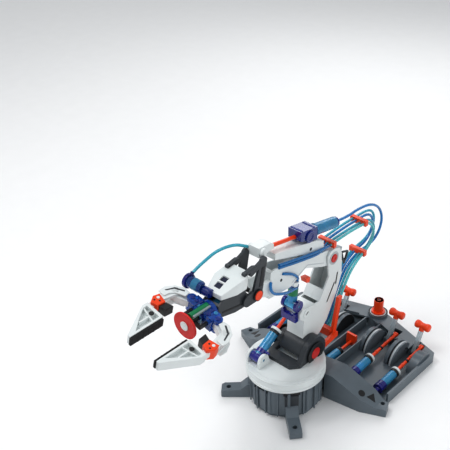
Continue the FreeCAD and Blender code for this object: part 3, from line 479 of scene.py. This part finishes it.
def arm_details():
    """Slots, seams, pins and the coloured tabs of the upper arm and the forearm."""
    for side in (-1, 1):
        label = "near" if side > 0 else "far"
        # The slots are thin black plates just proud of the side plates: painted shade in place of open slots.
        for index, (low, high) in enumerate((((88, 162), (72, 136)), ((94, 176), (91, 158)))):
            y0, z0, y1, z1 = *low, *high
            slot = [(y0 - 1, z0), (y0 + 1, z0 - 1), (y1 + 1, z1), (y1 - 1, z1 + 1)]
            plate_yz("arm_slot_%s_%d" % (label, index), slot,
                     *sorted((side * 13.9, side * 15.06)), "upper_arm", BLACK, "dark_plastic", 0.08)
        turned("knee_boss_" + label, mm(side * 14.9, 27, 141), X_AXIS * side,
               [(0, 7.6), (0.9, 7.6), (1.3, 7.1), (1.3, 4.4), (0.7, 4.1), (0.7, 0.2)],
               "upper_arm", WHITE)
        # A black plate on the knee boss: painted shade of the screw hole.
        x0, x1 = sorted((side * 15.5, side * 16.0))
        plate_yz("knee_screw_hole_shade_" + label, [(24.5, 139.6), (29, 142.6), (29, 144), (24.5, 141)], x0, x1,
                 "upper_arm", BLACK, "dark_plastic", 0.08)
        # The light grey disc around the red cap is painted shade in the side recess.
        turned("elbow_recess_" + label, mm(side * 14.95, 84, 205), X_AXIS * side,
               [(0, 10), (0.7, 10), (1.0, 9.6), (1.0, 8.2), (0.25, 7.9), (0.25, 0.2)],
               "upper_arm", LIGHT_GREY)
        turned("elbow_cap_" + label, mm(side * 14.8, 84, 205), X_AXIS * side,
               [(0, 6.2), (1.6, 6.2), (2.0, 5.6), (2.0, 2.6), (1.3, 2.4), (1.3, 0.2)],
               "upper_arm", RED)
        turned("beam_pin_" + label, mm(side * 9.9, 38, 240), X_AXIS * side,
               [(0, 2.4), (0.4, 2.4), (0.5, 0.2)], "forearm", BLACK, sides=20)
        turned("frame_pin_" + label, mm(side * 11.4, -24, 223), X_AXIS * side,
               [(0, 2.2), (0.4, 2.2), (0.5, 0.2)], "forearm", BLACK, sides=20)
        x0, x1 = sorted((side * 11.45, side * 11.75))
        seam = [(-2, 208), (30, 220), (66, 205), (66, 204), (30, 218.8), (-2, 206.8)]
        plate_yz("frame_seam_" + label, seam,
                 x0, x1, "forearm", LIGHT_GREY, "grey_plastic", 0.08)
        turned("wrist_cap_" + label, mm(side * 18.7, -75, 230), X_AXIS * side,
               [(0, 6.6), (0.8, 6.6), (1.1, 6.2), (1.1, 4.0), (0.6, 3.7), (0.6, 0.2)],
               "forearm", ORANGE)
        turned("shoulder_ring_" + label, mm(side * 31.9, 28, 78), X_AXIS * side,
               [(0, 17.6), (0.9, 17.6), (1.2, 17.1), (1.2, 11.2), (0.8, 10.8), (0.1, 10.6)],
               "turret", BLACK, sides=48)
        corners = ((103, 205), (118, 200), (110, 183))
        bar_x0, bar_x1 = sorted((side * 12, side * 15))
        for index, edge in enumerate(zip(corners, corners[1:] + corners[:1])):
            start, end = [mm(0, *place) for place in edge]
            across = (end - start).cross(X_AXIS).normalized() * 0.0012
            bar = [start - across, start + across, end + across, end - across]
            plate("elbow_bracket_%s_%d" % (label, index), bar, mm(bar_x0, 0, 0), mm(bar_x1, 0, 0),
                  "upper_arm", DARK_GREY, 0.5)
    plate_yz("forearm_tab", [(2, 203.5), (14, 199.5), (10, 194), (4, 196)], 4, 11, "forearm", WHITE,
             "white_plastic")
    plate_yz("orange_tab", [(33, 193), (43, 191), (41, 183), (35, 185)], -3, 7, "upper_arm", ORANGE,
             "orange_plastic")


def hand_details():
    """The crosshead's lugs, the cover's dark panels, hooks and pins, the roll cylinder and its fluid."""
    turned("roll_fluid", mm(-35, -137, 258.5), X_AXIS, [(1, 5.3), (12, 5.3)], "hand", GREEN_FLUID)
    turned("roll_glow", mm(-30, -137, 258.5), X_AXIS, [(0, 7.65), (0.2, 7.85), (9.8, 7.85), (10, 7.65)],
           "hand", CYAN_CLEAR)
    turned("roll_cap", mm(-42.3, -137, 258.5), X_AXIS, [(0, 8.4), (0.7, 9.8), (4, 9.8), (4.6, 9.2)],
           "hand", PURPLE_CLEAR)
    turned("roll_port", mm(-40, -133, 262), mm(0, 5, 8), [(0, 3), (4, 3), (4.4, 2.4), (7, 2.4)],
           "hand", PURPLE_CLEAR, sides=24)
    for place in (-127, -117):
        top = 262.2 + (place + 127) * 0.27
        front, back = place + 0.2, place + 7.8
        panel = [(front, top - 2), (back, top), (back, top - 1), (front, top - 3)]
        plate_yz("cover_panel_%d" % -place, panel, -6.8, 2.8, "hand", NAVY, "dark_plastic", 0.1)
    turned("roll_joint", mm(-15.5, -137, 256.5), X_AXIS, [(0, 5.5), (0.5, 6), (13, 6), (13.5, 5.5)], "hand",
           DEEP_BLUE)
    for side in (-1, 1):
        label = "near" if side > 0 else "far"
        x0, x1 = sorted((side * 11.2, side * 16.8))
        hook = [(-96, 268.6), (-96, 271.6), (-80, 274.4), (-74, 272), (-78, 269)]
        plate_yz("cover_hook_" + label, hook, x0, x1,
                 "hand", DARK_GREY, "dark_plastic", 0.6)
        turned("hook_end_" + label, mm(x0, -95, 270), X_AXIS, [(0, 2.2), (0.4, 2.7), (5.2, 2.7), (5.6, 2.2)],
               "hand", DARK_GREY, sides=20)
        x0, x1 = sorted((side * 16.45, side * 16.9))
        plate_yz("crank_panel_" + label, [(-72, 240), (-66, 240), (-61, 266), (-66, 266)], x0, x1,
                 "hand", BLACK, "dark_plastic", 0.1)
        x0, x1 = sorted((side * 12.9, side * 13.4))
        plate_yz("trough_line_" + label, [(-98, 226), (-98, 228.5), (-134, 235.5), (-134, 233)], x0, x1,
                 "hand", BLACK, "dark_plastic", 0.1)
        turned("crosshead_eye_" + label, mm(side * 7.9, -56, 281), X_AXIS * side,
               [(0, 5.4), (3.6, 5.4), (4.2, 4.8), (4.2, 2.7)], "pitch_piston", WHITE)


def roll_frame(x, y, z=0.0):
    """A point of the gripper, from its own upright frame to where it rests."""
    angle = math.radians(15.5)
    return mm(x * math.cos(angle) + z * math.sin(angle), y, 237 - x * math.sin(angle) + z * math.cos(angle))


GRIP_Z = roll_frame(0, 0, 1) - roll_frame(0, 0)


def gripper_plate(name, points, z0, z1, body, material, rounding=0.4):
    outline = [roll_frame(x, y) for x, y in points]
    return plate(name, outline, GRIP_Z * z0, GRIP_Z * z1, body, material, rounding)


JAW_CHEEK = [(29, -149), (38, -148), (49, -155), (55, -167), (54.5, -177), (44.5, -177), (43, -168),
             (38, -162), (28, -157)]
JAW_SLOT = [(34, -153.2), (35.4, -151.4), (46.5, -158), (51, -170), (49, -170), (45, -160)]


def gripper_details():
    """Coloured links at the finger pivots, slots in the jaw arms, pins and the suction cup's rim."""
    for side, label in ((-1, "left"), (1, "right")):
        finger, arm = label + "_finger", label + "_arm"
        link = [(side * x, y) for x, y in ((37, -181), (51, -178), (53, -187), (47, -196), (38, -193))]
        gripper_plate(label + "_orange_link", link, -8.6, 8.6, finger, ORANGE, 0.9)
        inner = [(side * x, y) for x, y in ((27, -177), (37.2, -180), (38, -191), (28, -189))]
        gripper_plate(label + "_black_link", inner, -6.4, 6.4, finger, BLACK, 0.8)
        # Black discs on the orange link: painted shade of its two holes.
        for index, (x, y) in enumerate(((42, -186), (47, -190))):
            turned("%s_link_hole_%d" % (label, index), roll_frame(side * x, y, 8.5), GRIP_Z,
                   [(0, 1.3), (0.25, 1.3), (0.3, 0.2)], finger, BLACK, sides=16)
        cheek = [(side * x, y) for x, y in JAW_CHEEK]
        gripper_plate(label + "_arm_cheek_top", cheek, 7.9, 9.9, arm, WHITE, 0.8)
        gripper_plate(label + "_arm_cheek_under", cheek, -9.9, -7.9, arm, WHITE, 0.8)
        # A thin dark grey plate on the cheek: painted shade in place of the open slot.
        slot = [(side * x, y) for x, y in JAW_SLOT]
        gripper_plate(label + "_cheek_slot", slot, 9.7, 10.05, arm, DARK_GREY, 0.1)
        turned(label + "_arm_hub", roll_frame(side * 43, -160, 8.9), GRIP_Z,
               [(0, 5.2), (0.6, 5.2), (1.0, 4.7), (1.0, 0.2)], arm, WHITE, sides=28)
        # A black disc on the finger: painted shade of the hole.
        turned(label + "_finger_hole", roll_frame(side * 34, -206, 6.5), GRIP_Z,
               [(0, 3.2), (0.6, 3.2), (0.7, 1.8), (0.5, 0.2)], finger, BLACK, sides=20)
        for index, y in enumerate((-206, -214, -222, -230, -238)):
            groove = [(side * x, y + dy) for x, dy in ((18.7, 0), (19.2, 0), (19.2, -1.2), (18.7, -1.2))]
            gripper_plate("%s_pad_groove_%d" % (label, index), groove, -6.0, 6.0, finger, PAD_RUBBER,
                          0.1)
        turned(label + "_jaw_pin_head", roll_frame(side * 22, -152, 10), GRIP_Z,
               [(0, 3.4), (0.9, 3.4), (1.3, 2.8), (1.3, 0.2)], "gripper", DEEP_BLUE, sides=24)
    front = roll_frame(0, -161, 0)
    turned("grip_window", front, -Y_AXIS, [(-1, 8.12), (-0.5, 8.4), (2.2, 8.4), (2.6, 7.9)],
           "gripper", DEEP_BLUE)
    turned("grip_fluid", roll_frame(0, -127, 0), -Y_AXIS, [(0, 5.3), (30, 5.3)], "gripper", GREEN_FLUID)
    for index, x in enumerate((-9, 9)):
        rib = [(x - 1.2, -159), (x + 1.2, -159), (x + 1.2, -146), (x - 1.2, -146)]
        gripper_plate("frame_rib_%d" % index, rib, 9.7, 11.5, "gripper", DEEP_BLUE, 0.3)
    turned("feed_tube", roll_frame(-2, -144, 7.6), -Y_AXIS,
           [(0, 4.2), (0.6, 4.8), (31, 4.8), (31.5, 4.2)], "gripper", GREEN_FLUID, sides=28)
    strip = [(1.2, -174.5), (3.8, -174.5), (3.8, -145), (1.2, -145)]
    gripper_plate("pale_strip", strip, 9.0, 12.4, "gripper", CLEAR, 0.4)
    for index, (x, y) in enumerate(((-14, -152), (-8, -156), (10, -156), (14, -148))):
        turned("frame_stud_%d" % index, roll_frame(x, y, 9.8), GRIP_Z,
               [(0, 2.6), (1.2, 2.6), (1.6, 2.0), (1.6, 0.2)],
               "gripper", CYAN_CLEAR if index % 2 else DEEP_BLUE, sides=20)
    turned("cup_rim", roll_frame(0, -184.0, 0), -Y_AXIS,
           [(-1.5, 17.4), (-1.0, 17.9), (0.3, 17.9), (0.5, 17.3), (0.1, 16.6)],
           "gripper", RED_RUBBER, sides=48)
    turned("cup_core", roll_frame(0, -184.7, 0), -Y_AXIS, [(-0.5, 6.1), (0.6, 6.1), (0.9, 5.6), (0.9, 0.2)],
           "gripper", WHITE)


# ---------------------------------------------------------------- pieces on the base

def base_details():
    """The drum's ribs and dark slots, the turntable's slots and steps."""
    for index, degrees in enumerate((-150, -120, -98, -82, -62, -22, 0, 22)):
        angle = math.radians(degrees)
        out = Vector((math.cos(angle), math.sin(angle), 0))
        across = Vector((-out.y, out.x, 0))
        rim = out * 0.0535
        outline = [rim - across * 0.0012, rim + across * 0.0012, rim + across * 0.0009 + out * 0.0018,
                   rim - across * 0.0009 + out * 0.0018]
        plate("drum_rib_%d" % index, outline, mm(0, 0, 4), mm(0, 0, 51), "base", GUNMETAL,
              0.2)
    out = Vector((0.76, -0.65, 0))
    across = Vector((0.65, 0.76, 0))
    # drum_slot is a black plate on the drum: painted shade in place of the open slot.
    for name, near, far, half, low, high, material in (
            ("drum_slot", 53.2, 54.7, 12, 45, 51, BLACK),
            ("drum_panel", 53.2, 54.6, 10, 24, 43.5, DARK_GREY)):
        outline = [(out * near - across * half) * MM, (out * near + across * half) * MM,
                   (out * far + across * half) * MM, (out * far - across * half) * MM]
        plate(name, outline, mm(0, 0, low), mm(0, 0, high), "base", material, 0.4)
    # Black plates on the turntable: painted shade in place of its two slots.
    for side in (-1, 1):
        outline = [mm(side * 39 - 2.9, 6.2, 0), mm(side * 39 + 2.9, 6.2, 0), mm(side * 39 + 2.9, 30.8, 0),
                   mm(side * 39 - 2.9, 30.8, 0)]
        plate("ring_slot_" + ("near" if side > 0 else "far"), outline, mm(0, 0, 64), mm(0, 0, 67.2), "turret",
              BLACK, 0.2)
    turned("ring_step_57", mm(0, 0, 66.6), Z_AXIS, [(0, 57.2), (0.5, 57.6), (0.9, 57.2)], "turret", WHITE,
           sides=72)
    turned("ring_step_50", mm(0, 0, 67.9), Z_AXIS, [(0, 50), (0.35, 49.7)], "turret", WHITE,
           sides=72)


HANDLE_PROFILE = [(0, 3.2), (0.6, 5.0), (1.6, 6.0), (4, 6.5), (7, 6.0), (9, 5.2), (11, 5.0), (15, 5.0),
                  (17, 5.2), (19, 6.0), (22, 6.5), (24.4, 6.0), (25.4, 5.0), (26, 3.2)]


def console_details():
    """Disc bands, dial and knob, lever handles, rod marks, seals and fittings, cheek bosses and marks."""
    for index, x in enumerate((-96, -48, 48, 96), 1):
        side = 1 if x > 0 else -1
        mx = x + side * 9
        lever, rod = "lever_%d" % index, "master_rod_%d" % index
        pivot, grip = mm(x, 197, 7.6), mm(x, 215, 49)
        turned("handle_%d" % index, grip - X_AXIS * 0.013, X_AXIS,
               HANDLE_PROFILE, lever, ORANGE, sides=28)
        turned("handle_neck_%d" % index, grip, pivot - grip, [(3, 4.6), (8, 4.3), (9, 3.6)], lever, ORANGE,
               sides=24)
        front, pin = mm(mx, 90, 12.4), mm(mx, 202.4, 19)
        along = pin - front
        turned("master_fluid_%d" % index, front, along, [(3.2, 5.3), (21, 5.3)], "base",
               GREEN_FLUID if index in (2, 4) else CYAN_FLUID)
        turned("master_seal_%d" % index, front, along, [(36, 7.05), (36.4, 7.6), (40.4, 7.6), (40.9, 7.05)],
               "base", BLACK)
        turned("master_band_%d" % index, front, along, [(0.6, 7.05), (1, 7.9), (9, 7.9), (9.5, 7.05)],
               "base", PURPLE_CLEAR)
        turned("master_nozzle_%d" % index, front, -along,
               [(3.9, 4), (5, 3.4), (9, 3.2), (9.4, 2.3), (13, 2.3)],
               "base", PURPLE_CLEAR, sides=24)
        for mark in (58, 70, 82):
            turned("rod_ring_%d_%d" % (index, mark), front, along,
                   [(mark, 2.65), (mark + 0.3, 3.2), (mark + 3.2, 3.2), (mark + 3.5, 2.65)], rod,
                   BLACK if mark == 70 else ORANGE, sides=24)
        inner = x - side * 9.4
        turned("disc_band_%d" % index, mm(inner, 176, 3), -X_AXIS * side, [(0, 24), (0.2, 26.9), (5.2, 27.15),
                                                                        (5.5, 24)],
               "base", LIGHT_GREY, sides=64, above=2.5)
        turned("tyre_%d" % index, mm(x - side * 15.1, 176, 3), -X_AXIS * side, [(0, 25.2), (2.8, 25.2)],
               "base", BLACK, sides=64, above=2.5)
        turned("disc_rim_%d" % index, mm(x - side * 24.05, 176, 3), -X_AXIS * side,
               [(0, 26.4), (0.35, 26.2), (0.35, 21.5), (0.05, 21.2), (0.05, 0.3)],
               "base", BLACK, sides=64, above=2.5)
    centre = mm(4, 228, 24)
    for index, (radius, material) in enumerate(((15.6, BLACK), (13.4, LIGHT_GREY), (11.2, BLACK))):
        turned("dial_ring_%d" % index, centre, Z_AXIS, [(0, radius), (0.15 + 0.12 * index, radius)], "base",
               material, sides=56)
    turned("knob_grip", mm(4, 228, 27.2), Z_AXIS, [(0, 7.7), (1, 8.0), (15, 8.0), (19, 8.2), (20.8, 7.6)],
           "roll_knob", ORANGE, sides=48, flutes=12, depth=0.35)
    # A black disc on top of the knob: painted shade of its hole.
    turned("knob_hole", mm(4, 228, 48.0), Z_AXIS, [(0, 2.4), (0.15, 2.4), (0.2, 0.2)], "roll_knob", BLACK,
           sides=24)
    turned("channel_fluid", mm(9, 79.3, 12), Y_AXIS, [(0, 5.3), (20, 5.3)], "base", GREEN_FLUID)
    turned("channel_seal", mm(9, 114, 12), Y_AXIS, [(0, 7.05), (0.4, 7.6), (5, 7.6), (5.5, 7.05)],
           "base", BLACK)
    for side in (-1, 1):
        label = "near" if side > 0 else "far"
        for name, height, material in (("cheek_boss_", 0.9, GUNMETAL), ("cheek_dish_", 1.1, BLACK)):
            radius = 7.5 if material is GUNMETAL else 5.6
            turned(name + label, mm(side * 101, 50, 25.4), Vector((side * 0.46, 0, 0.89)),
                   [(-1.5, radius), (height - 0.3, radius), (height, radius - 0.4)], "base", material)
        outline = [mm(side * x, y, 0) for x, y in ((109, 52), (122, 56), (112, 66))]
        on_cheek = [point + mm(0, 0, 22.8 - (abs(point.x) * 1000 - 108) * 0.50) for point in outline]
        plate("cheek_mark_" + label, on_cheek, mm(0, 0, -1), mm(0, 0, 0.6), "base", BLACK, 0.2)


# ---------------------------------------------------------------- build

add_camera()
add_surroundings()
finish_nodes()
arm_hoses()
forearm_hoses()
cylinder_details()
arm_details()
hand_details()
gripper_details()
base_details()
console_details()
